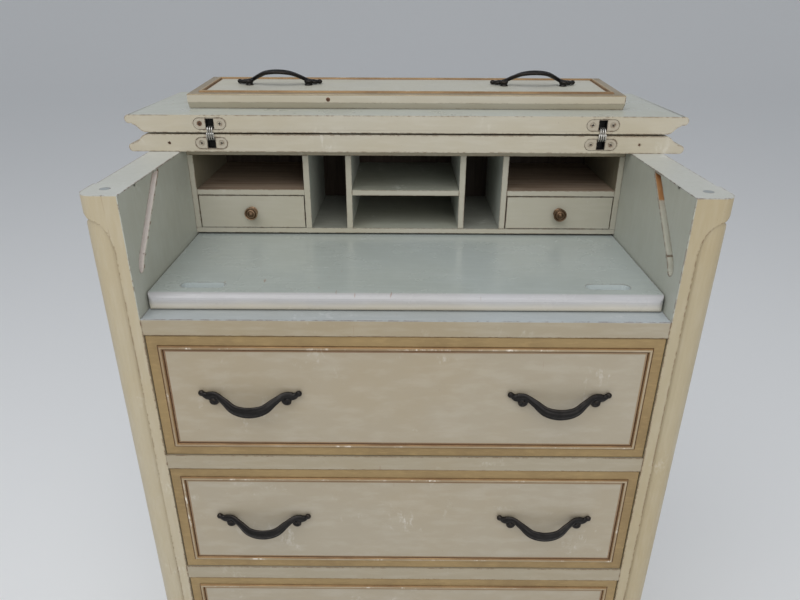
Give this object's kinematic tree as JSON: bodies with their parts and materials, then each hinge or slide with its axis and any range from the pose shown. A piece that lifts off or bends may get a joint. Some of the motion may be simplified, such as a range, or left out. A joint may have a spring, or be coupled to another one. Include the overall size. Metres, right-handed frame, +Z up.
{
  "type": "flip-top desk chest",
  "caption": "Painted chest of drawers with a folding top, a false drawer front, a pull-out desk panel and pigeonholes.",
  "frame": {"origin": "middle of the footprint, on the floor", "axes": "+Z up, front faces -Y, +X to the right seen from the front"},
  "size_m": [0.735, 0.462, 1.0995],
  "materials": {
    "cream_paint": "aged satin paint, cream",
    "green_paint": "aged gloss paint, grey-green",
    "bare_wood": "bare, lightly oiled",
    "pull_bronze": "dark bronze, rubbed",
    "knob_brass": "antique brass, tarnished",
    "hinge_steel": "steel, part painted over"
  },
  "bodies": {
    "case": {"side_panel_left": "cream_paint", "side_panel_right": "cream_paint", "corner_post_left": "cream_paint", "corner_post_right": "cream_paint", "back_panel": "bare_wood", "case_bottom": "cream_paint", "desk_rail": "cream_paint", "drawer_rail_1": "cream_paint", "drawer_rail_2": "cream_paint", "drawer_rail_3": "cream_paint", "base_front": "cream_paint", "base_side_left": "cream_paint", "base_side_right": "cream_paint", "rear_leaf": "cream_paint", "rear_hinge_cup_left": "hinge_steel", "rear_hinge_cup_right": "hinge_steel", "pigeonhole_top": "green_paint", "pigeonhole_floor": "green_paint", "pigeonhole_end_left": "green_paint", "pigeonhole_end_right": "green_paint", "drawer_divider_left": "green_paint", "drawer_divider_right": "green_paint", "slot_divider_left": "green_paint", "slot_divider_right": "green_paint", "shelf_left": "green_paint", "shelf_right": "green_paint", "shelf_middle": "green_paint"},
    "lid": {"front_leaf": "cream_paint", "front_hinge_cup_left": "hinge_steel", "front_hinge_cup_right": "hinge_steel", "front_hinge_strip_lid": "hinge_steel"},
    "rear_links": {"rear_hinge_link_left": "hinge_steel", "rear_hinge_link_right": "hinge_steel"},
    "front_links": {"front_hinge_link_left": "hinge_steel", "front_hinge_link_right": "hinge_steel"},
    "false_front": {"false_drawer_front": "cream_paint", "front_hinge_strip_panel": "hinge_steel", "false_front_pull_left": "pull_bronze", "false_front_pull_right": "pull_bronze"},
    "desk": {"desk_panel": "green_paint"},
    "small_drawer_left": {"small_drawer_left": "green_paint", "small_knob_left": "knob_brass"},
    "small_drawer_right": {"small_drawer_right": "green_paint", "small_knob_right": "knob_brass"},
    "drawer_1": {"drawer_1_front": "cream_paint", "drawer_1_box": "bare_wood", "drawer_1_pull_left": "pull_bronze", "drawer_1_pull_right": "pull_bronze"},
    "drawer_2": {"drawer_2_front": "cream_paint", "drawer_2_box": "bare_wood", "drawer_2_pull_left": "pull_bronze", "drawer_2_pull_right": "pull_bronze"},
    "drawer_3": {"drawer_3_front": "cream_paint", "drawer_3_box": "bare_wood", "drawer_3_pull_left": "pull_bronze", "drawer_3_pull_right": "pull_bronze"},
    "drawer_4": {"drawer_4_front": "cream_paint", "drawer_4_box": "bare_wood", "drawer_4_pull_left": "pull_bronze", "drawer_4_pull_right": "pull_bronze"}
  },
  "joints": [
    {"name": "lid_fold", "type": "hinge", "parent": "case", "child": "lid", "pos_m": [0, 0.0005, 1.0295], "axis": [1, 0, 0], "range_deg": [0, 180]},
    {"name": "rear_link_turn", "type": "hinge", "parent": "case", "child": "rear_links", "pos_m": [0, 0.008, 1.022], "axis": [1, 0, 0], "range_deg": [0, 90]},
    {"name": "front_link_turn", "type": "hinge", "parent": "lid", "child": "front_links", "pos_m": [0, 0.008, 1.037], "axis": [1, 0, 0], "range_deg": [-90, 0]},
    {"name": "false_front_fold", "type": "hinge", "parent": "lid", "child": "false_front", "pos_m": [0, 0.1871, 1.0578], "axis": [1, 0, 0], "range_deg": [-93.06, 0]},
    {"name": "desk_slide", "type": "slide", "parent": "case", "child": "desk", "axis": [0, 1, 0], "range_m": [-0.24, 0]},
    {"name": "small_drawer_left_slide", "type": "slide", "parent": "case", "child": "small_drawer_left", "axis": [0, -1, 0], "range_m": [0, 0.11]},
    {"name": "small_drawer_right_slide", "type": "slide", "parent": "case", "child": "small_drawer_right", "axis": [0, -1, 0], "range_m": [0, 0.11]},
    {"name": "drawer_1_slide", "type": "slide", "parent": "case", "child": "drawer_1", "axis": [0, -1, 0], "range_m": [0, 0.3]},
    {"name": "drawer_2_slide", "type": "slide", "parent": "case", "child": "drawer_2", "axis": [0, -1, 0], "range_m": [0, 0.3]},
    {"name": "drawer_3_slide", "type": "slide", "parent": "case", "child": "drawer_3", "axis": [0, -1, 0], "range_m": [0, 0.3]},
    {"name": "drawer_4_slide", "type": "slide", "parent": "case", "child": "drawer_4", "axis": [0, -1, 0], "range_m": [0, 0.3]}
  ],
  "couplings": [
    {"joint": "rear_link_turn", "follows": "lid_fold", "ratio": 0.5},
    {"joint": "front_link_turn", "follows": "lid_fold", "ratio": -0.5},
    {"joint": "false_front_fold", "follows": "lid_fold", "ratio": -0.51702}
  ]
}
